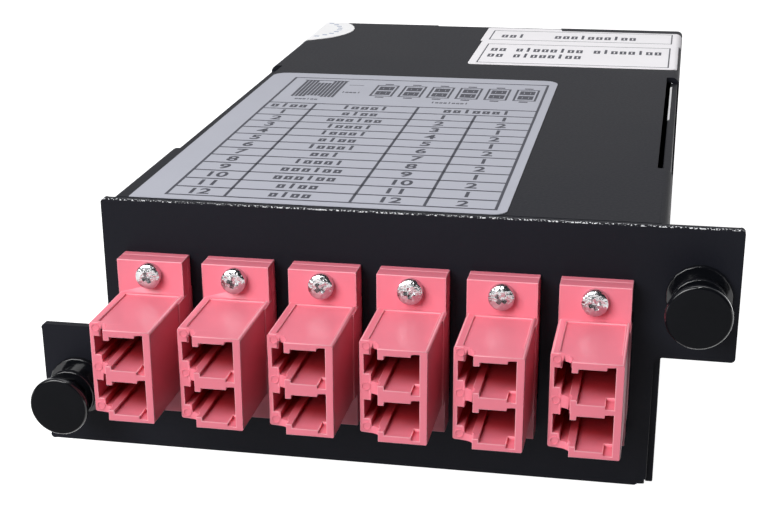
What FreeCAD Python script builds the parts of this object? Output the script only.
# Fibre cassette: a sheet-steel case whose Z-shaped front panel carries six duplex LC adapters and
# two push-pull latches, with a multi-fibre (MPO) adapter in the rear wall and the harness between them.
#
# Millimetres. X runs along the front panel, Y from the front panel into the case, Z up from the floor.
# Everything is built with Y = 0 on the panel's front face; save() then moves it to the row's frame,
# whose origin is the middle of the bounding box in X and Y, on the plane that the case stands on.

import FreeCAD, Part
import math
import os

from FreeCAD import Vector

# --- Front panel and case -----------------------------------------------------------------------
PANEL_MARGIN = 3.5        # panel width between its two ears, beyond the adapters' pitches
PANEL_H = 37.0            # panel height
EAR_W = 10.4              # how far each ear reaches past the panel
EAR_LEFT_H = 17.9         # the left ear, at the bottom
EAR_RIGHT_H = 18.1        # the right ear, at the top
PANEL_CORNER_R = 0.6      # rounded outer corners of the panel
PANEL_INNER_R = 1.0       # corner between the right ear and the panel
PANEL_CHAMFER_X = 1.5     # cut-off corner at the bottom right
PANEL_CHAMFER_Z = 1.05
BASE_T = 1.2              # sheet of the base shell, front panel included
COVER_T = 1.0             # sheet of the cover shell
CASE_NARROWER = 0.1       # how much narrower the case is than the panel
CASE_SHIFT = 0.9          # middle of the case, to the right of the panel's middle
CASE_D = 134.2            # from the panel's front face to the cover's rear face
COVER_BEND_R = 1.3        # outer radius of the cover's folds
BASE_BEND_R = 1.5         # outer radius of the base shell's folds
SHELL_GAP = 0.1           # clearance between the two shells
WALL_INSET = 0.3          # side walls of the base shell stand this far inside the cover's sides
WALL_START = 27.5         # the side walls and the notches beside them, along Y
WALL_LENGTH = 61.0
NOTCH_DEPTH = 2.2         # how far the cover's top is cut back beside a side wall
NOTCH_R = 0.45            # rounded ends of the notches
CORNER_GAP = 0.6          # open slit between a rear flange and the side beside it
REAR_WINDOW_W = 25.8      # opening in the cover's rear between its two flanges
REAR_STEP = 1.9           # rear wall of the base shell, in front of the cover's rear face
REAR_WALL_GAP = 0.4       # between the rear wall and the flanges beside it
LUG_W = 10.0              # lugs that the cover's sides are screwed to, along Y
LUG_H = 12.0
LUG_CORNER = 1.5
LUG_FROM_END = 10.0       # from the panel or the rear face to a lug

# --- Duplex LC adapters ---------------------------------------------------------------------------
ADAPTER_COUNT = 6
ADAPTER_PITCH = 12.0
ADAPTER_W = 9.2           # body width
ADAPTER_H = 12.8          # body height
FLANGE_W = 9.3
FLANGE_H = 22.2
FRONT_FLANGE_T = 2.2      # flange layer of the front half
REAR_FLANGE_T = 1.3       # flange layer of the rear half, which lies on the panel
FRONT_LENGTH = 17.7       # from the panel's front face to the front of the adapter
REAR_LENGTH = 11.4        # from the panel's front face to the rear of the adapter
ADAPTER_EDGE = 0.25       # cut-off edges along the body and the flange
PORT_PITCH = 6.25
PORT_H = 4.6              # main opening, which takes the plug's square nose
PORT_RIGHT = 3.55         # right side of the main opening, from the adapter's middle
PORT_W = 4.5
KEY_W = 1.1               # corner pockets beside the main opening
KEY_H = 0.45
KEY_DEPTH = 2.7
NECK_H = 3.56             # latch channel: neck, cross slot and inner slot
NECK_W = 1.07
CROSS_H = 4.56
CROSS_W = 1.05
SLOT_H = 2.6
SLOT_W = 0.95
SCOOP_DEPTH = 2.56        # the face is set back on the latch side
SCOOP_R = 1.74
SCOOP_FLAT_W = 1.25       # flat part of the set-back, from the adapter's left side
TOP_RIB_W = 1.15          # rib along the left of the adapter's top
TOP_POCKET = 0.25         # how deep the top is sunk beside that rib
TOP_LIP = 0.6             # rim that stays around the sunk top
COLLAR_T = 0.2            # raised collar on the right side, beside the flange
COLLAR_L = 2.6
WEB_T = 2.0               # inner wall that carries the sleeve tube, in each half
TUBE_L = 3.75
TUBE_R = 1.5
SLEEVE_L = 6.8            # split alignment sleeve
SLEEVE_R = 0.8
SLEEVE_T = 0.165
SLEEVE_SLIT = 0.25
SLEEVE_GAP = 0.05
WINDOW_GAP = 0.1          # clearance of an adapter body in its panel window

# --- Screws and nuts ------------------------------------------------------------------------------
FLATS = 6                 # sides of small round forms that repeat
BORE_SIDES = 8            # sides of the latches' hidden bores and stems
LATCH_SIDES = 20          # sides of their outside
SCREW_R = 1.0
SCREW_HEAD_R = 1.9
SCREW_HEAD_TOP_R = 1.5
SCREW_HEAD_T = 1.3
SCREW_END = 0.4           # how far a screw reaches out of its nut
SCREW_HOLE_GAP = 0.1
FLANGE_SCREW_Z = 9.1      # adapter screws, above and below the adapter's middle
NUT_W = 4.0               # across flats
NUT_T = 1.6
CASE_SCREW_L = 3.4
CASE_HEAD_T = 0.9         # countersunk head, within the cover's sheet
CASE_SCREW_Z = 7.2

# --- Push-pull latches ----------------------------------------------------------------------------
LATCH_FLANGE_R = 4.25
LATCH_FLANGE_T = 0.9
LATCH_NECK_R = 3.0
LATCH_RING_R = 3.6
LATCH_RING_T = 0.9
LATCH_FRONT = 4.1         # the grommet's front, ahead of the panel
SHOULDER_R = 3.35         # the grommet's shoulder in the panel's hole
SLEEVE_OUT_R = 3.2        # the grommet's sleeve, behind the panel
SLEEVE_OUT_L = 4.3        # straight length of that sleeve
SLEEVE_TIP_L = 1.5
SLEEVE_TIP_R = 2.6
FINGER_SLOT_W = 0.7
FINGER_START = 2.4        # from the panel's rear face to the slots between the fingers
GUIDE_R = 2.35            # wide bore at the grommet's front
GUIDE_END = -0.4
STEM_HOLE_R = 1.75        # narrow bore behind it
FINGER_R = 2.15           # bore between the fingers
PLUNGER_GAP = 0.05
PLUNGER_HEAD_R = 4.25
PLUNGER_HEAD_T = 1.1
PLUNGER_EDGE = 0.35
PLUNGER_FACE = 8.5        # rim of the pulled-out plunger's face, ahead of the panel
PLUNGER_TRAVEL = 2.8
PLUNGER_STOP_T = 0.6
PLUNGER_SPARE = 0.3       # room left at both ends of the plunger's travel

# --- Rear adapter and harness ---------------------------------------------------------------------
MPO_W = 13.0
MPO_H = 9.4
MPO_FLANGE_W = 22.2
MPO_FLANGE_T = 2.0
MPO_OUT = 9.0             # nose outside the flange
MPO_IN = 9.0              # nose inside the rear wall
MPO_SCREW_X = 9.0
MPO_PORT_W = 10.2
MPO_PORT_H = 6.9
MPO_WALL_T = 2.0          # wall between the two ports
MPO_KEY_W = 3.0
MPO_KEY_H = 0.7
MPO_PASS_W = 6.5          # opening in that wall, for the two ferrules
MPO_PASS_H = 2.8
MPO_EDGE = 0.5
MPO_PLUG_W = 9.8
MPO_PLUG_H = 6.5
MPO_PLUG_L = 17.0
MPO_GRIP_W = 12.4
MPO_GRIP_H = 7.7
MPO_GRIP_START = 1.0      # from the plug's front end to its grip
MPO_KEY_END = 2.0         # from the key's end to the plug's nose
MPO_KEY_GAP = 0.2
MPO_BOOT_STEP = 0.6       # how much smaller the boot is than the plug, on each side
MPO_BOOT_TIP = 1.4        # how much larger its tip is than the ribbon
MPO_BOOT_L = 8.0
RIBBON_W = 3.2
RIBBON_T = 0.5
RIBBON_LEAD = 7.0         # straight run at each end of the ribbon
FANOUT_W = 15.0
FANOUT_H = 5.0
FANOUT_L = 16.0
FANOUT_START = 66.0
FANOUT_TAPER_L = 6.0      # tapered rear end of the fan-out block
FANOUT_NECK = 1.5         # how far that end is wider than the ribbon, on each side
CLIP_T = 1.0
CLIP_W = 5.0
CLIP_FOOT = 4.0
CLIP_START = 3.0          # from the block's front to the saddle
FIBRE_R = 0.45
FIBRE_SIDES = 4
BEND_SHARE = 0.9          # how much of the shorter run beside it a bend may use
BEND_STEPS = 2
LANE_PITCH = 1.1
FIBRE_LEAD = 10.0         # straight run where a fibre leaves a boot or the fan-out block

# --- LC plugs -------------------------------------------------------------------------------------
PLUG_W = 4.45
PLUG_L = 12.0
PLUG_GAP = 0.2            # between a plug's nose and the adapter's inner wall
PLUG_BACK_W = 3.6
PLUG_BACK_L = 2.5
PLUG_MOUTH_W = 3.3
PLUG_MOUTH_L = 4.0
FERRULE_R = 0.62
FERRULE_GAP = 0.02        # from a ferrule's end to the adapter's joint face
BOOT_L = 8.0
BOOT_R = 1.5
BOOT_TIP_R = 0.8
ARM_T = 0.6
ARM_W = 2.2
ARM_ROOT_L = 2.6
ARM_RISE = 2.2
ARM_TIP = 0.8             # from the plug's nose to the arm's root

# --- Labels ---------------------------------------------------------------------------------------
LABEL_T = 0.12
TABLE_LABEL_W = 51.8
TABLE_LABEL_L = 80.6
TABLE_LABEL_R = 2.6
TABLE_LABEL_Y = 1.4       # front edge of the table label
TABLE_LABEL_GAP = 0.5     # from the notch in the cover's left side to the label
NOTE_LABEL_W = 38.6
NOTE_LABEL_L = 22.3
NOTE_LABEL_R = 1.0
NOTE_LABEL_Y = 95.0
NOTE_LABEL_GAP = 0.55     # from the cover's right side to the label
REAR_LABEL_W = 39.5
REAR_LABEL_L = 14.0
REAR_LABEL_R = 0.6
REAR_LABEL_GAP = 0.1
SEAL_R = 12.6             # round seal, folded over the rear left corner
SEAL_SIDES = 36
SEAL_OVER = 4.4           # its middle, past the cover's left side
SEAL_FROM_REAR = 9.7      # its middle, in front of the cover's rear face

# --- Places worked out from the sizes above -------------------------------------------------------
PANEL_W = ADAPTER_COUNT * ADAPTER_PITCH + PANEL_MARGIN
CASE_W = PANEL_W - CASE_NARROWER
CASE_LEFT = CASE_SHIFT - CASE_W / 2
CASE_RIGHT = CASE_SHIFT + CASE_W / 2
REAR_WALL_Y = CASE_D - REAR_STEP
WALL_END = WALL_START + WALL_LENGTH
UNDER_COVER = PANEL_H - COVER_T
MID_Z = PANEL_H / 2
SPLIT_Y = -REAR_FLANGE_T
FLANGE_FRONT_Y = SPLIT_Y - FRONT_FLANGE_T
MPO_BACK = REAR_WALL_Y + MPO_FLANGE_T + MPO_OUT
ORIGIN_Y = (MPO_BACK - FRONT_LENGTH) / 2
LATCH_X = (PANEL_W + EAR_W) / 2
LATCHES = {"left": (-LATCH_X, EAR_LEFT_H / 2), "right": (LATCH_X, PANEL_H - EAR_RIGHT_H / 2)}
ADAPTER_XS = [(i - (ADAPTER_COUNT - 1) / 2) * ADAPTER_PITCH for i in range(ADAPTER_COUNT)]
PORT_ZS = [MID_Z + PORT_PITCH / 2, MID_Z - PORT_PITCH / 2]
PORT_X = PORT_RIGHT - PORT_W / 2
PLUG_FRONT = SPLIT_Y + WEB_T + PLUG_GAP
BOOT_START = PLUG_FRONT + PLUG_L + PLUG_BACK_L
BOOT_END = BOOT_START + BOOT_L


# --- Small helpers --------------------------------------------------------------------------------
# Small round forms are many-sided, to keep the model light; only the sleeve that a panel hole takes is round.
def box(x0, x1, y0, y1, z0, z1):
    return Part.makeBox(x1 - x0, y1 - y0, z1 - z0, Vector(x0, y0, z0))


def rod(x, z, radius, y0, y1):
    """A cylinder along Y."""
    return Part.makeCylinder(radius, y1 - y0, Vector(x, y0, z), Vector(0, 1, 0))


def ring_of(sides, radius, y=0):
    """Corner points of a regular polygon around the Y axis, with a flat side on top."""
    step = 2 * math.pi / sides
    return [Vector(radius * math.sin((i + 0.5) * step), y, radius * math.cos((i + 0.5) * step))
            for i in range(sides)]


def post(x, z, radius, y0, y1, sides=FLATS):
    """A small pin along Y whose corners lie on the radius."""
    shape = face_of(ring_of(sides, radius, y0)).extrude(Vector(0, y1 - y0, 0))
    return placed(shape, x, 0, z)


def hole(x, z, radius, y0, y1, sides=FLATS):
    """A small hole along Y whose flats lie on the radius."""
    return post(x, z, radius / math.cos(math.pi / sides), y0, y1, sides)


def skin(rings):
    """A solid with flat faces through rings of corner points."""
    faces = [face_of(rings[0]), face_of(rings[-1])]
    for first, second in zip(rings, rings[1:]):
        for i in range(len(first)):
            faces.append(face_of([first[i - 1], first[i], second[i], second[i - 1]]))
    solid = Part.makeSolid(Part.makeShell(faces))
    if solid.Volume < 0:
        solid.reverse()
    return solid


def taper(profile, sides=FLATS):
    """A small many-sided pin along Y from (radius, y) pairs."""
    return skin([ring_of(sides, radius, y) for radius, y in profile])


def carried(section, path):
    """A section carried along a path of straight runs, with a mitre at each bend."""
    rings = [section]
    for i in range(1, len(path)):
        along = (path[i] - path[i - 1]).normalize()
        after = (path[i + 1] - path[i]).normalize() if i + 1 < len(path) else along
        normal = along + after
        rings.append([p + along * ((path[i] - p).dot(normal) / along.dot(normal)) for p in rings[-1]])
    return skin(rings)


def placed(shape, x, y, z):
    copy = shape.copy()
    copy.translate(Vector(x, y, z))
    return copy


def cut(shape, *tools):
    return shape.cut(list(tools))


def fuse(shape, *others):
    return shape.fuse(list(others)).removeSplitter()


def face_of(points, radii=None):
    """A flat face from corner points; radii rounds the corners that it names by their place."""
    radii = radii or {}
    count = len(points)
    edges = []
    starts = []
    ends = []
    arcs = []
    for i, corner in enumerate(points):
        before = points[i - 1]
        after = points[(i + 1) % count]
        radius = radii.get(i, 0)
        if not radius:
            starts.append(corner)
            ends.append(corner)
            arcs.append(None)
            continue
        back = (before - corner).normalize()
        ahead = (after - corner).normalize()
        half = back.getAngle(ahead) / 2
        reach = radius / math.tan(half)
        towards = (back + ahead).normalize()
        middle = corner + towards * (radius / math.sin(half) - radius)
        first = corner + back * reach
        last = corner + ahead * reach
        starts.append(first)
        ends.append(last)
        arcs.append(Part.Arc(first, middle, last).toShape())
    for i in range(count):
        if arcs[i]:
            edges.append(arcs[i])
        edges.append(Part.makeLine(ends[i], starts[(i + 1) % count]))
    return Part.Face(Part.Wire(edges))


def plate_xz(points, y0, y1, radii=None):
    """An outline in X and Z, given depth along Y."""
    return face_of([Vector(x, y0, z) for x, z in points], radii).extrude(Vector(0, y1 - y0, 0))


def plate_xy(points, z0, z1, radii=None):
    """An outline in X and Y, given height along Z."""
    return face_of([Vector(x, y, z0) for x, y in points], radii).extrude(Vector(0, 0, z1 - z0))


def rectangle(a0, a1, b0, b1):
    return [(a0, b0), (a1, b0), (a1, b1), (a0, b1)]


def bevelled(half_a, half_b, edge):
    """Outline of a rectangle about 0, 0 with its corners cut off."""
    if not edge:
        return rectangle(-half_a, half_a, -half_b, half_b)
    return [(-half_a, -half_b + edge), (-half_a + edge, -half_b), (half_a - edge, -half_b),
            (half_a, -half_b + edge), (half_a, half_b - edge), (half_a - edge, half_b),
            (-half_a + edge, half_b), (-half_a, half_b - edge)]


def all_round(radius):
    return {i: radius for i in range(4)}


def edges_along(shape, direction, place):
    """The straight edges along a direction whose middle passes the test."""
    chosen = []
    for edge in shape.Edges:
        if edge.Curve.TypeId != "Part::GeomLine":
            continue
        along = edge.Vertexes[-1].Point - edge.Vertexes[0].Point
        if abs(along.normalize().dot(direction)) < 0.999:
            continue
        if place(edge.CenterOfMass):
            chosen.append(edge)
    return chosen


def save(name, shape):
    moved = shape.copy()
    moved.translate(Vector(0, -ORIGIN_Y, 0))
    if not moved.isValid():
        raise ValueError(name + " is not a valid solid")
    moved.exportStep("parts/" + name + ".step")
    volume = round(moved.Volume, 2)
    print(name, len(moved.Solids), volume)


# --- Case -----------------------------------------------------------------------------------------
def panel_plate():
    """The Z-shaped front panel: an ear at the bottom left and one at the top right."""
    left = -PANEL_W / 2
    right = PANEL_W / 2
    notch_z = PANEL_H - EAR_RIGHT_H
    outline = [(left - EAR_W, 0), (right - PANEL_CHAMFER_X, 0), (right, PANEL_CHAMFER_Z),
               (right, notch_z), (right + EAR_W, notch_z), (right + EAR_W, PANEL_H),
               (left, PANEL_H), (left, EAR_LEFT_H), (left - EAR_W, EAR_LEFT_H)]
    rounded = {i: PANEL_CORNER_R for i in (0, 4, 5, 6, 7, 8)}
    rounded[3] = PANEL_INNER_R
    return plate_xz(outline, 0, BASE_T, rounded)


def panel_openings():
    """Adapter windows, screw holes and the two latch holes."""
    tools = []
    half_w = ADAPTER_W / 2 + WINDOW_GAP
    half_h = ADAPTER_H / 2 + WINDOW_GAP
    for x in ADAPTER_XS:
        tools.append(box(x - half_w, x + half_w, -1, BASE_T + 1, MID_Z - half_h, MID_Z + half_h))
        for side in (-1, 1):
            z = MID_Z + side * FLANGE_SCREW_Z
            tools.append(hole(x, z, SCREW_R + SCREW_HOLE_GAP, -1, BASE_T + 1))
    for x, z in LATCHES.values():
        tools.append(rod(x, z, SHOULDER_R + WINDOW_GAP, -1, BASE_T + 1))
    return tools


def side_wall_channel():
    """Floor and both side walls of the middle stretch, as one folded channel."""
    left = CASE_LEFT + WALL_INSET
    right = CASE_RIGHT - WALL_INSET
    start = WALL_START + SHELL_GAP
    end = WALL_END - SHELL_GAP
    inner_r = BASE_BEND_R - BASE_T
    outer = plate_xz(rectangle(left, right, 0, UNDER_COVER), start, end, {0: BASE_BEND_R, 1: BASE_BEND_R})
    hollow = plate_xz(rectangle(left + BASE_T, right - BASE_T, BASE_T, PANEL_H), start, end,
                      {0: inner_r, 1: inner_r})
    return cut(outer, hollow)


def lug_places():
    """Side and Y of each lug; the cover's screws go through their middles."""
    front = BASE_T + LUG_FROM_END + LUG_W / 2
    rear = CASE_D - COVER_T - LUG_FROM_END - LUG_W / 2
    return [(side, y) for side in (-1, 1) for y in (front, rear)]


def side_x(side, depth):
    """X of a plane that lies depth inside the cover's left (-1) or right (1) side."""
    return CASE_SHIFT + side * (CASE_W / 2 - depth)


def lug(side, y):
    """A folded-up lug with its threaded hole, just inside the cover's side."""
    outside = side_x(side, COVER_T + SHELL_GAP)
    inside = side_x(side, COVER_T + SHELL_GAP + BASE_T)
    half = LUG_W / 2
    corner = LUG_CORNER
    outline = [(-half, 0), (half, 0), (half, LUG_H - corner), (half - corner, LUG_H), (corner - half, LUG_H),
               (-half, LUG_H - corner)]
    points = [Vector(outside, y + along, z) for along, z in outline]
    shape = face_of(points).extrude(Vector(inside - outside, 0, 0))
    return cut(shape, case_screw_space(side, y, SCREW_HOLE_GAP / 2))


def rear_wall():
    """The part of the base shell that folds up at the rear and carries the MPO adapter."""
    half = REAR_WINDOW_W / 2 - REAR_WALL_GAP
    wall = plate_xz(rectangle(CASE_SHIFT - half, CASE_SHIFT + half, 0, UNDER_COVER),
                    REAR_WALL_Y - BASE_T, REAR_WALL_Y)
    half_w = MPO_W / 2 + WINDOW_GAP
    half_h = MPO_H / 2 + WINDOW_GAP
    window = box(CASE_SHIFT - half_w, CASE_SHIFT + half_w, REAR_WALL_Y - BASE_T - 1, REAR_WALL_Y + 1,
                 MID_Z - half_h, MID_Z + half_h)
    holes = [hole(CASE_SHIFT + side * MPO_SCREW_X, MID_Z, SCREW_R + SCREW_HOLE_GAP,
                  REAR_WALL_Y - BASE_T - 1, REAR_WALL_Y + 1) for side in (-1, 1)]
    return cut(wall, window, *holes)


def base_shell():
    """Front panel, floor, side walls, rear wall and lugs, folded from one sheet."""
    floor_left = side_x(-1, COVER_T + SHELL_GAP)
    floor_right = side_x(1, COVER_T + SHELL_GAP)
    floor_end = CASE_D - COVER_T - SHELL_GAP
    half = REAR_WINDOW_W / 2
    floor = box(floor_left, floor_right, BASE_T / 2, floor_end, 0, BASE_T)
    behind_wall = box(CASE_SHIFT - half, CASE_SHIFT + half, REAR_WALL_Y, CASE_D, -1, BASE_T + 1)
    floor = cut(floor, behind_wall)
    lugs = [lug(side, y) for side, y in lug_places()]
    plate = cut(panel_plate(), *panel_openings())
    shell = fuse(plate, floor, side_wall_channel(), rear_wall(), *lugs)
    return shell


def cover_shell():
    """Top, sides and rear flanges, folded from one sheet and notched beside the side walls."""
    front = BASE_T + SHELL_GAP
    bottom = SHELL_GAP
    outer = box(CASE_LEFT, CASE_RIGHT, front, CASE_D, bottom, PANEL_H)
    folds = edges_along(outer, Vector(0, 1, 0), lambda p: p.z > PANEL_H - 0.1)
    folds += edges_along(outer, Vector(1, 0, 0), lambda p: p.z > PANEL_H - 0.1 and p.y > CASE_D - 0.1)
    outer = outer.makeFillet(COVER_BEND_R, folds)
    hollow = box(CASE_LEFT + COVER_T, CASE_RIGHT - COVER_T, front - 1, CASE_D - COVER_T, bottom - 1,
                 UNDER_COVER)
    folds = edges_along(hollow, Vector(0, 1, 0), lambda p: p.z > UNDER_COVER - 0.1)
    folds += edges_along(hollow, Vector(1, 0, 0),
                         lambda p: p.z > UNDER_COVER - 0.1 and p.y > CASE_D - COVER_T - 0.1)
    hollow = hollow.makeFillet(COVER_BEND_R - COVER_T, folds)
    tools = [hollow]
    for side in (-1, 1):
        outside = side_x(side, -1)
        inside = side_x(side, NOTCH_DEPTH)
        x0 = min(outside, inside)
        x1 = max(outside, inside)
        tools.append(plate_xy(rectangle(x0, x1, WALL_START, WALL_END), -1, PANEL_H + 1, all_round(NOTCH_R)))
        slit_a = side_x(side, COVER_T)
        slit_b = side_x(side, COVER_T + CORNER_GAP)
        tools.append(box(min(slit_a, slit_b), max(slit_a, slit_b), CASE_D - COVER_T - 1, CASE_D + 1,
                         bottom - 1, UNDER_COVER))
    half = REAR_WINDOW_W / 2
    tools.append(box(CASE_SHIFT - half, CASE_SHIFT + half, REAR_WALL_Y, CASE_D + 1, bottom - 1, PANEL_H + 1))
    for side, y in lug_places():
        tools.append(case_screw_space(side, y, SCREW_HOLE_GAP / 2))
    return cut(outer, *tools)


# --- Screws and nuts ------------------------------------------------------------------------------
def pan_screw(length):
    """A pan-head screw along +Y, with the underside of its head at Y = 0."""
    head = taper([(SCREW_HEAD_TOP_R, -SCREW_HEAD_T), (SCREW_HEAD_R, 0)])
    return fuse(head, post(0, 0, SCREW_R, -0.1, length))


def adapter_screws():
    length = FRONT_FLANGE_T + REAR_FLANGE_T + BASE_T + NUT_T + SCREW_END
    screw = pan_screw(length)
    return [placed(screw, x, FLANGE_FRONT_Y, MID_Z + side * FLANGE_SCREW_Z)
            for x in ADAPTER_XS for side in (1, -1)]


def nut():
    """A hexagon nut along +Y from Y = 0."""
    return cut(post(0, 0, NUT_W / math.sqrt(3), 0, NUT_T, 6), hole(0, 0, SCREW_R, -1, NUT_T + 1))


def adapter_nuts():
    return [placed(nut(), x, BASE_T, MID_Z + side * FLANGE_SCREW_Z) for x in ADAPTER_XS for side in (1, -1)]


def case_screw_space(side, y, gap):
    """A countersunk screw, driven in from the left (-1) or right (1); gap widens it to its hole."""
    head_r = SCREW_R + CASE_HEAD_T + gap
    shank_r = SCREW_R + gap
    shape = fuse(taper([(head_r, 0), (shank_r, CASE_HEAD_T)]), post(0, 0, shank_r, CASE_HEAD_T, CASE_SCREW_L))
    shape.rotate(Vector(0, 0, 0), Vector(0, 0, 1), 90 * side)
    return placed(shape, side_x(side, 0), y, CASE_SCREW_Z)


def case_screws():
    return [case_screw_space(side, y, 0) for side, y in lug_places()]


# --- Duplex LC adapter ----------------------------------------------------------------------------
# A half is built about X = 0, Z = 0 with its joint face at Y = 0, and reaches towards -Y.
def scoop_end():
    """X where the scoop's curve meets the front face, and the angle that it turns through."""
    rise = math.acos((SCOOP_R - SCOOP_DEPTH) / SCOOP_R)
    return SCOOP_FLAT_W - ADAPTER_W / 2 + SCOOP_R * math.sin(rise), rise


def latch_scoop(length):
    """What the set-back face on the latch side takes away, over the adapter's whole height."""
    left = -ADAPTER_W / 2
    face_y = -length
    flat_y = face_y + SCOOP_DEPTH
    flat_x = left + SCOOP_FLAT_W
    end_x, rise = scoop_end()
    middle_x = flat_x + SCOOP_R * math.sin(rise / 2)
    middle_y = flat_y - SCOOP_R + SCOOP_R * math.cos(rise / 2)
    z = -ADAPTER_H
    corner = Vector(flat_x, flat_y, z)
    end = Vector(end_x, face_y, z)
    edges = [Part.makeLine(Vector(left - 1, face_y - 1, z), Vector(left - 1, flat_y, z)),
             Part.makeLine(Vector(left - 1, flat_y, z), corner),
             Part.Arc(corner, Vector(middle_x, middle_y, z), end).toShape(),
             Part.makeLine(end, Vector(end_x, face_y - 1, z)),
             Part.makeLine(Vector(end_x, face_y - 1, z), Vector(left - 1, face_y - 1, z))]
    return Part.Face(Part.Wire(edges)).extrude(Vector(0, 0, 2 * ADAPTER_H))


def plain_scoop(length):
    """The same set-back with a slope in place of the curve, for the hidden half."""
    left = -ADAPTER_W / 2
    face_y = -length
    flat_y = face_y + SCOOP_DEPTH
    end_x = scoop_end()[0]
    outline = [(left - 1, face_y - 1), (left - 1, flat_y), (left + SCOOP_FLAT_W, flat_y), (end_x, face_y),
               (end_x, face_y - 1)]
    return plate_xy(outline, -ADAPTER_H, ADAPTER_H)


def latch_port():
    """Outline of a port: plug nose and the stepped channel of the plug's latch arm."""
    left = PORT_RIGHT - PORT_W
    neck = left - NECK_W
    cross = neck - CROSS_W
    slot = cross - SLOT_W
    return [(PORT_RIGHT, -PORT_H / 2), (PORT_RIGHT, PORT_H / 2), (left, PORT_H / 2), (left, NECK_H / 2),
            (neck, NECK_H / 2), (neck, CROSS_H / 2), (cross, CROSS_H / 2), (cross, SLOT_H / 2),
            (slot, SLOT_H / 2), (slot, -SLOT_H / 2), (cross, -SLOT_H / 2), (cross, -CROSS_H / 2),
            (neck, -CROSS_H / 2), (neck, -NECK_H / 2), (left, -NECK_H / 2), (left, -PORT_H / 2)]


def plain_port():
    """Outline of a port with a plain channel, for the hidden half."""
    left = PORT_RIGHT - PORT_W
    slot = left - NECK_W - CROSS_W - SLOT_W
    return [(PORT_RIGHT, -PORT_H / 2), (PORT_RIGHT, PORT_H / 2), (left, PORT_H / 2), (left, NECK_H / 2),
            (slot, NECK_H / 2), (slot, -NECK_H / 2), (left, -NECK_H / 2), (left, -PORT_H / 2)]


def key_pockets(length):
    high = PORT_H / 2 + KEY_H
    return box(PORT_RIGHT - KEY_W, PORT_RIGHT, -length - 1, -length + KEY_DEPTH, -high, high)


def sleeve_bore(end):
    """The sleeve's bore, as far as end, with a smaller one beyond it that only a ferrule passes."""
    wide = hole(PORT_X, 0, SLEEVE_R, -end, 1)
    narrow = hole(PORT_X, 0, FERRULE_R + SLEEVE_GAP, -WEB_T - TUBE_L - 1, 1)
    return fuse(wide, narrow)


def adapter_half(length, flange_t, edge, scoop, port, bore_end):
    """One moulded half with its flange, two ports and screw holes."""
    body = plate_xz(bevelled(ADAPTER_W / 2, ADAPTER_H / 2, edge), -length, 0)
    flange = plate_xz(rectangle(-FLANGE_W / 2, FLANGE_W / 2, -FLANGE_H / 2, FLANGE_H / 2), -flange_t, 0)
    shape = cut(fuse(body, flange), scoop)
    space = plate_xz(port, -length - 1, -WEB_T)
    tube = post(PORT_X, 0, TUBE_R, -WEB_T - TUBE_L, -WEB_T)
    for side in (-1, 1):
        z = side * PORT_PITCH / 2
        shape = cut(shape, placed(space, 0, 0, z))
        shape = fuse(shape, placed(tube, 0, 0, z))
        screw_hole = hole(0, side * FLANGE_SCREW_Z, SCREW_R + SCREW_HOLE_GAP, -flange_t - 1, 1)
        shape = cut(shape, placed(sleeve_bore(bore_end), 0, 0, z), screw_hole)
    return shape


def front_half():
    """The half in front of the panel, with its ribbed top and the collar on its right side."""
    length = FRONT_LENGTH + SPLIT_Y
    bore_end = SLEEVE_L / 2 + SLEEVE_GAP
    shape = adapter_half(length, FRONT_FLANGE_T, ADAPTER_EDGE, latch_scoop(length), latch_port(), bore_end)
    half_w = ADAPTER_W / 2
    half_h = ADAPTER_H / 2
    for side in (-1, 1):
        shape = cut(shape, placed(key_pockets(length), 0, 0, side * PORT_PITCH / 2))
    pocket_front = -length + SCOOP_DEPTH + TOP_LIP
    pocket = box(-half_w + TOP_RIB_W, half_w - TOP_LIP, pocket_front, -FRONT_FLANGE_T - TOP_LIP,
                 half_h - TOP_POCKET, half_h + 1)
    collar = box(half_w - 0.2, half_w + COLLAR_T, -FRONT_FLANGE_T - COLLAR_L, -FRONT_FLANGE_T / 2,
                 -half_h + ADAPTER_EDGE, half_h - ADAPTER_EDGE)
    return fuse(cut(shape, pocket), collar)


def rear_half():
    """The half behind the panel, which faces the other way and is plainer, as nothing shows it."""
    length = REAR_LENGTH - SPLIT_Y
    bore_end = WEB_T + TUBE_L + 1
    half = adapter_half(length, REAR_FLANGE_T, 0, plain_scoop(length), plain_port(), bore_end)
    return half.mirror(Vector(0, 0, 0), Vector(0, 1, 0))


def split_sleeve():
    """A slit ceramic sleeve, centred on Y = 0."""
    ring = cut(post(PORT_X, 0, SLEEVE_R, -SLEEVE_L / 2, SLEEVE_L / 2),
               post(PORT_X, 0, SLEEVE_R - SLEEVE_T, -SLEEVE_L, SLEEVE_L))
    slit = box(PORT_X, PORT_X + 2 * SLEEVE_R, -SLEEVE_L, SLEEVE_L, -SLEEVE_SLIT / 2, SLEEVE_SLIT / 2)
    return cut(ring, slit)


# --- LC plug --------------------------------------------------------------------------------------
# A plug is built about X = 0, Z = 0 with its nose at Y = 0, and reaches towards +Y.
def latch_arm():
    """The spring arm with its two side lugs, rising away from the plug towards the rear."""
    top = -PLUG_W / 2
    root = ARM_ROOT_L
    outline = [(top, ARM_TIP), (top - ARM_T, ARM_TIP + ARM_T), (top - ARM_T - ARM_RISE, PLUG_L),
               (top - ARM_RISE, PLUG_L), (top, root)]
    arm = plate_xy(outline, -ARM_W / 2, ARM_W / 2)
    lugs = box(top - ARM_T, top, root - ARM_T, root, -NECK_H / 2 + PLUG_GAP / 2, NECK_H / 2 - PLUG_GAP / 2)
    return fuse(arm, lugs)


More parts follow.
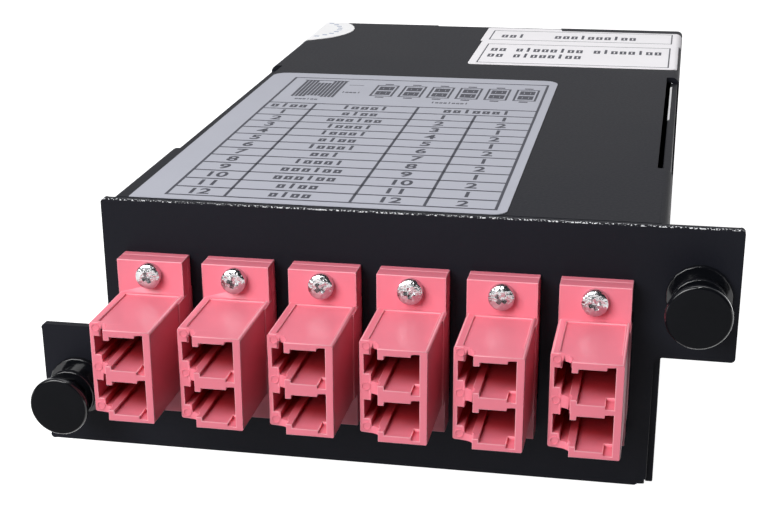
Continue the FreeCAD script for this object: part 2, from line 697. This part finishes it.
def plug_housing():
    half = PLUG_W / 2
    back = PLUG_BACK_W / 2
    mouth = PLUG_MOUTH_W / 2
    nose = box(-half, half, 0, PLUG_L, -half, half)
    neck = box(-back, back, PLUG_L, PLUG_L + PLUG_BACK_L, -back, back)
    hollow = box(-mouth, mouth, -1, PLUG_MOUTH_L, -mouth, mouth)
    return cut(fuse(nose, neck, latch_arm()), hollow)


def ferrule():
    """The ceramic ferrule, whose polished end stops just short of the adapter's middle."""
    tip = SPLIT_Y - PLUG_FRONT + FERRULE_GAP
    return post(0, 0, FERRULE_R, tip, PLUG_MOUTH_L)


def boot():
    """A tapered strain-relief boot."""
    return taper([(BOOT_R, 0), (BOOT_TIP_R, BOOT_L)])


# --- Harness --------------------------------------------------------------------------------------
def bent_path(points):
    """The points joined by straight runs and by bends of short straight steps."""
    path = [points[0]]
    for i in range(1, len(points) - 1):
        before = (points[i] - points[i - 1]).normalize()
        after = (points[i + 1] - points[i]).normalize()
        turn = before.getAngle(after)
        shorter = min(points[i].distanceToPoint(points[j]) for j in (i - 1, i + 1))
        reach = BEND_SHARE * shorter
        radius = reach / math.tan(turn / 2)
        first = points[i] - before * reach
        side = (before * math.cos(turn) - after).normalize() * radius
        centre = first - side
        for step in range(BEND_STEPS + 1):
            angle = turn * step / BEND_STEPS
            path.append(centre + side * math.cos(angle) + before * (radius * math.sin(angle)))
    return path + [points[-1]]


def fibre_leg(start, end):
    """A buffered fibre from an LC boot back to its lane in the fan-out block."""
    lead = Vector(0, FIBRE_LEAD, 0)
    section = [start + corner for corner in ring_of(FIBRE_SIDES, FIBRE_R)]
    return carried(section, bent_path([start, start + lead, end - lead, end]))


def lane(index):
    """Where a fibre enters the fan-out block; lanes run from left to right with the ports."""
    count = 2 * ADAPTER_COUNT
    x = CASE_SHIFT + (index - (count - 1) / 2) * LANE_PITCH
    return Vector(x, FANOUT_START, BASE_T + FANOUT_H / 2)


def fanout_block():
    """The moulded block where the ribbon divides into separate fibres."""
    half = FANOUT_W / 2
    neck = RIBBON_W / 2 + FANOUT_NECK
    back = FANOUT_START + FANOUT_L
    taper_y = back - FANOUT_TAPER_L
    outline = [(-half, FANOUT_START), (half, FANOUT_START), (half, taper_y), (neck, back), (-neck, back),
               (-half, taper_y)]
    points = [(CASE_SHIFT + x, y) for x, y in outline]
    return plate_xy(points, BASE_T, BASE_T + FANOUT_H)


def fanout_clip():
    """A saddle that holds the block down on the floor."""
    half = FANOUT_W / 2
    top = BASE_T + FANOUT_H
    foot = half + CLIP_T + CLIP_FOOT
    outline = [(-foot, BASE_T), (-half, BASE_T), (-half, top), (half, top), (half, BASE_T), (foot, BASE_T),
               (foot, BASE_T + CLIP_T), (half + CLIP_T, BASE_T + CLIP_T), (half + CLIP_T, top + CLIP_T),
               (-half - CLIP_T, top + CLIP_T), (-half - CLIP_T, BASE_T + CLIP_T), (-foot, BASE_T + CLIP_T)]
    points = [(CASE_SHIFT + x, z) for x, z in outline]
    start = FANOUT_START + CLIP_START
    return plate_xz(points, start, start + CLIP_W)


def mpo_adapter():
    """The rear adapter: a flange outside the rear wall and a port on each side of an inner wall."""
    front = REAR_WALL_Y - BASE_T - MPO_IN
    half_w = MPO_W / 2
    half_h = MPO_H / 2
    body = plate_xz(bevelled(half_w, half_h, MPO_EDGE), front, MPO_BACK)
    flange = plate_xz(bevelled(MPO_FLANGE_W / 2, half_h, MPO_EDGE), REAR_WALL_Y, REAR_WALL_Y + MPO_FLANGE_T)
    middle = (front + MPO_BACK) / 2
    tools = []
    for y0, y1 in ((front - 1, middle - MPO_WALL_T / 2), (middle + MPO_WALL_T / 2, MPO_BACK + 1)):
        tools.append(box(-MPO_PORT_W / 2, MPO_PORT_W / 2, y0, y1, -MPO_PORT_H / 2, MPO_PORT_H / 2))
        tools.append(box(-MPO_KEY_W / 2, MPO_KEY_W / 2, y0, y1, 0, MPO_PORT_H / 2 + MPO_KEY_H))
    tools.append(box(-MPO_PASS_W / 2, MPO_PASS_W / 2, front, MPO_BACK, -MPO_PASS_H / 2, MPO_PASS_H / 2))
    for side in (-1, 1):
        tools.append(hole(side * MPO_SCREW_X, 0, SCREW_R + SCREW_HOLE_GAP, REAR_WALL_Y - 1,
                          REAR_WALL_Y + MPO_FLANGE_T + 1))
    return placed(cut(fuse(body, flange), *tools), CASE_SHIFT, 0, MID_Z)


def mpo_plug():
    """The plug on the inside of the rear adapter, with its sliding grip."""
    start = mpo_plug_start()
    nose_end = start + MPO_PLUG_L
    mouth = REAR_WALL_Y - BASE_T - MPO_IN
    nose = plate_xz(bevelled(MPO_PLUG_W / 2, MPO_PLUG_H / 2, MPO_EDGE), start, nose_end)
    grip = plate_xz(bevelled(MPO_GRIP_W / 2, MPO_GRIP_H / 2, 2 * MPO_EDGE), start + MPO_GRIP_START,
                    mouth - PLUG_GAP)
    half_key = MPO_KEY_W / 2 - MPO_KEY_GAP
    key_top = MPO_PORT_H / 2 + MPO_KEY_H - MPO_KEY_GAP
    key = box(-half_key, half_key, mouth - 1, nose_end - MPO_KEY_END, 0, key_top)
    ribbon_slot = box(-RIBBON_W / 2, RIBBON_W / 2, start - 1, nose_end + 1, -RIBBON_T / 2, RIBBON_T / 2)
    return placed(cut(fuse(nose, grip, key), ribbon_slot), CASE_SHIFT, 0, MID_Z)


def mpo_plug_start():
    port_end = (REAR_WALL_Y - BASE_T - MPO_IN + MPO_BACK) / 2 - MPO_WALL_T / 2
    return port_end - PLUG_GAP - MPO_PLUG_L


def mpo_boot():
    """A flat tapered boot in front of the MPO plug."""
    rear = mpo_plug_start()
    root = (rear, MPO_PLUG_W / 2 - MPO_BOOT_STEP, MPO_PLUG_H / 2 - MPO_BOOT_STEP)
    end = (rear - MPO_BOOT_L, (RIBBON_W + MPO_BOOT_TIP) / 2, (RIBBON_T + MPO_BOOT_TIP) / 2)
    sections = []
    for y, half_w, half_h in (root, end):
        sections.append([Vector(x, y, z) for x, z in rectangle(-half_w, half_w, -half_h, half_h)])
    shape = skin(sections)
    slot = box(-RIBBON_W / 2, RIBBON_W / 2, rear - MPO_BOOT_L - 1, rear + 1, -RIBBON_T / 2, RIBBON_T / 2)
    return placed(cut(shape, slot), CASE_SHIFT, 0, MID_Z)


def fibre_ribbon():
    """The flat ribbon from the fan-out block up to the MPO boot."""
    start = Vector(CASE_SHIFT, FANOUT_START + FANOUT_L, BASE_T + FANOUT_H / 2)
    end = Vector(CASE_SHIFT, mpo_plug_start() - MPO_BOOT_L, MID_Z)
    lead = Vector(0, RIBBON_LEAD, 0)
    half_w = RIBBON_W / 2
    half_t = RIBBON_T / 2
    section = [start + Vector(x, 0, z) for x, z in rectangle(-half_w, half_w, -half_t, half_t)]
    return carried(section, bent_path([start, start + lead, end - lead, end]))


def mpo_screws():
    """Two screws driven in from the rear, through the flange and the rear wall."""
    screw = pan_screw(MPO_FLANGE_T + BASE_T + NUT_T + SCREW_END)
    screw.rotate(Vector(0, 0, 0), Vector(0, 0, 1), 180)
    return [placed(screw, CASE_SHIFT + side * MPO_SCREW_X, REAR_WALL_Y + MPO_FLANGE_T, MID_Z)
            for side in (-1, 1)]


def mpo_nuts():
    return [placed(nut(), CASE_SHIFT + side * MPO_SCREW_X, REAR_WALL_Y - BASE_T - NUT_T, MID_Z)
            for side in (-1, 1)]


# --- Push-pull latches ----------------------------------------------------------------------------
def grommet(x, z):
    """The latch's fixed part: flange, grip ring and a sleeve that ends in four fingers."""
    flange = -LATCH_FLANGE_T
    ring = -LATCH_FRONT + LATCH_RING_T
    front = -LATCH_FRONT
    sleeve_end = BASE_T + SLEEVE_OUT_L
    tip = sleeve_end + SLEEVE_TIP_L
    steps = [(LATCH_RING_R, front, ring), (LATCH_NECK_R, ring, flange), (LATCH_FLANGE_R, flange, 0),
             (SHOULDER_R, 0, BASE_T)]
    rings = [post(x, z, radius, y0, y1, LATCH_SIDES) for radius, y0, y1 in steps]
    sleeve = rod(x, z, SLEEVE_OUT_R, BASE_T, sleeve_end)
    fingers = placed(taper([(SLEEVE_OUT_R, sleeve_end), (SLEEVE_TIP_R, tip)], BORE_SIDES), x, 0, z)
    bores = [hole(x, z, GUIDE_R, front - 1, GUIDE_END, BORE_SIDES),
             hole(x, z, STEM_HOLE_R, GUIDE_END - 1, tip, BORE_SIDES),
             hole(x, z, FINGER_R, BASE_T, tip + 1, BORE_SIDES)]
    half = FINGER_SLOT_W / 2
    start = BASE_T + FINGER_START
    reach = 2 * SLEEVE_OUT_R
    slots = [box(x - reach, x + reach, start, tip + 1, z - half, z + half),
             box(x - half, x + half, start, tip + 1, z - reach, z + reach)]
    return cut(fuse(*rings, sleeve, fingers), *bores, *slots)


def plunger(x, z):
    """The latch's moving part, shown pulled out: a flat head on a stem with a stop collar."""
    face = -PLUNGER_FACE
    back = face + PLUNGER_HEAD_T
    neck_r = GUIDE_R - PLUNGER_GAP
    neck_end = GUIDE_END - PLUNGER_TRAVEL - PLUNGER_SPARE
    stop = BASE_T + PLUNGER_GAP
    tip = BASE_T + SLEEVE_OUT_L + SLEEVE_TIP_L - PLUNGER_TRAVEL - PLUNGER_SPARE
    rim_r = PLUNGER_HEAD_R
    profile = [(rim_r - PLUNGER_EDGE, face), (rim_r, face + PLUNGER_EDGE), (rim_r, back)]
    head = placed(taper(profile, LATCH_SIDES), x, 0, z)
    neck = post(x, z, neck_r, back, neck_end, BORE_SIDES)
    stem = post(x, z, STEM_HOLE_R - PLUNGER_GAP, neck_end, tip, BORE_SIDES)
    collar = post(x, z, FINGER_R - PLUNGER_GAP, stop, stop + PLUNGER_STOP_T, BORE_SIDES)
    return fuse(head, neck, stem, collar)


# --- Labels ---------------------------------------------------------------------------------------
def cover_block(grow):
    """The cover's outside as a solid block, grown by the thickness of what is stuck on it."""
    block = box(CASE_LEFT - grow, CASE_RIGHT + grow, BASE_T, CASE_D + grow, 0, PANEL_H + grow)
    folds = edges_along(block, Vector(0, 1, 0), lambda p: p.z > PANEL_H - 0.1)
    folds += edges_along(block, Vector(1, 0, 0), lambda p: p.z > PANEL_H - 0.1 and p.y > CASE_D - 0.1)
    return block.makeFillet(COVER_BEND_R + grow, folds)


def label(x0, x1, y0, y1, corners):
    """A label that lies on the cover's top and follows its folds."""
    region = plate_xy(rectangle(x0, x1, y0, y1), PANEL_H - COVER_BEND_R, PANEL_H + 1, corners)
    return region.common(cut(cover_block(LABEL_T), cover_block(0)))


def table_label():
    """The large label, with square corners at the panel and rounded ones at its rear."""
    x0 = CASE_LEFT + NOTCH_DEPTH + TABLE_LABEL_GAP
    y1 = TABLE_LABEL_Y + TABLE_LABEL_L
    return label(x0, x0 + TABLE_LABEL_W, TABLE_LABEL_Y, y1, {2: TABLE_LABEL_R, 3: TABLE_LABEL_R})


def note_label():
    x1 = CASE_RIGHT - NOTE_LABEL_GAP
    return label(x1 - NOTE_LABEL_W, x1, NOTE_LABEL_Y, NOTE_LABEL_Y + NOTE_LABEL_L,
                 all_round(NOTE_LABEL_R))


def rear_label():
    x1 = CASE_RIGHT - REAR_LABEL_GAP
    y0 = NOTE_LABEL_Y + NOTE_LABEL_L
    return label(x1 - REAR_LABEL_W, x1, y0, y0 + REAR_LABEL_L, all_round(REAR_LABEL_R))


def round_seal():
    """A round seal stuck over the rear left corner and folded down the side and the rear."""
    x = CASE_LEFT - SEAL_OVER
    y = CASE_D - SEAL_FROM_REAR
    fold = PANEL_H - COVER_BEND_R
    film = cut(cover_block(LABEL_T), cover_block(0))
    step = 2 * math.pi / SEAL_SIDES
    turns = [(SEAL_R * math.cos(i * step), SEAL_R * math.sin(i * step)) for i in range(SEAL_SIDES)]
    top = plate_xy([(x + a, y + b) for a, b in turns], fold, PANEL_H + 1)
    side = face_of([Vector(CASE_LEFT - 1, y + a, PANEL_H - SEAL_OVER + b) for a, b in turns])
    below = box(CASE_LEFT - 1, CASE_LEFT + COVER_BEND_R, y - SEAL_R, CASE_D + 1, 0, fold)
    folded = side.extrude(Vector(COVER_BEND_R + 1, 0, 0)).common(below)
    return fuse(film.common(top), film.common(folded))


# --- Everything -----------------------------------------------------------------------------------
def save_adapters():
    front = front_half()
    rear = rear_half()
    sleeve = split_sleeve()
    for number, x in enumerate(ADAPTER_XS, start=1):
        save("lc_adapter_front_%d" % number, placed(front, x, SPLIT_Y, MID_Z))
        save("lc_adapter_rear_%d" % number, placed(rear, x, SPLIT_Y, MID_Z))
        sleeves = [placed(sleeve, x, SPLIT_Y, z) for z in PORT_ZS]
        save("sleeve_pair_%d" % number, Part.makeCompound(sleeves))


def save_harness():
    housing = plug_housing()
    pin = ferrule()
    relief = boot()
    ferrules = []
    for number, x in enumerate(ADAPTER_XS, start=1):
        plug_x = x + PORT_X
        plugs = [placed(housing, plug_x, PLUG_FRONT, z) for z in PORT_ZS]
        boots = [placed(relief, plug_x, BOOT_START, z) for z in PORT_ZS]
        ferrules += [placed(pin, plug_x, PLUG_FRONT, z) for z in PORT_ZS]
        first_lane = 2 * (number - 1)
        legs = [fibre_leg(Vector(plug_x, BOOT_END, PORT_ZS[0]), lane(first_lane + 1)),
                fibre_leg(Vector(plug_x, BOOT_END, PORT_ZS[1]), lane(first_lane))]
        save("lc_plugs_%d" % number, Part.makeCompound(plugs))
        save("lc_boots_%d" % number, Part.makeCompound(boots))
        save("fibre_legs_%d" % number, Part.makeCompound(legs))
    save("lc_ferrules", Part.makeCompound(ferrules))
    save("fanout_block", fanout_block())
    save("fanout_clip", fanout_clip())
    save("fibre_ribbon", fibre_ribbon())
    save("mpo_boot", mpo_boot())
    save("mpo_plug", mpo_plug())


def save_fasteners():
    save("adapter_screws", Part.makeCompound(adapter_screws()))
    save("adapter_nuts", Part.makeCompound(adapter_nuts()))
    save("case_screws", Part.makeCompound(case_screws()))
    save("mpo_screws", Part.makeCompound(mpo_screws()))
    save("mpo_nuts", Part.makeCompound(mpo_nuts()))


def save_latches():
    for side, (x, z) in LATCHES.items():
        save("grommet_" + side, grommet(x, z))
        save("plunger_" + side, plunger(x, z))


def save_labels():
    save("table_label", table_label())
    save("note_label", note_label())
    save("rear_label", rear_label())
    save("round_seal", round_seal())


os.makedirs("parts", exist_ok=True)
save("base_shell", base_shell())
save("cover_shell", cover_shell())
save("mpo_adapter", mpo_adapter())
save_adapters()
save_harness()
save_fasteners()
save_latches()
save_labels()
